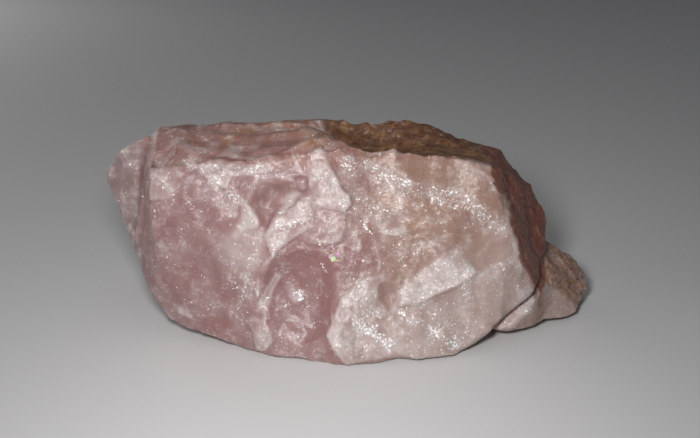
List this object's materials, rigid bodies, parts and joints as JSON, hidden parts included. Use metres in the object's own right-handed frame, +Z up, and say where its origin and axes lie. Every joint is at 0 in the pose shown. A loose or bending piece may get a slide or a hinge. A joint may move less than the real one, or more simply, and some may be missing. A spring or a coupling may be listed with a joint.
{
  "type": "rose quartz chunk",
  "caption": "Rough chunk of massive rose quartz with a broad fresh front break, shell-shaped scars and an iron-stained hollow on top.",
  "frame": {"origin": "on the resting plane, under the middle of the chunk's bounding box", "axes": "+X along the chunk towards its low foot, -Y out of the broad fresh break at the front, +Z up from the resting plane"},
  "size_m": [0.126, 0.0606, 0.0505],
  "materials": {
    "rose_quartz": "glassy to waxy broken quartz, cloudy pink with white veils and brown iron stain"
  },
  "bodies": {
    "root": {"rose_quartz": "rose_quartz"}
  },
  "joints": []
}
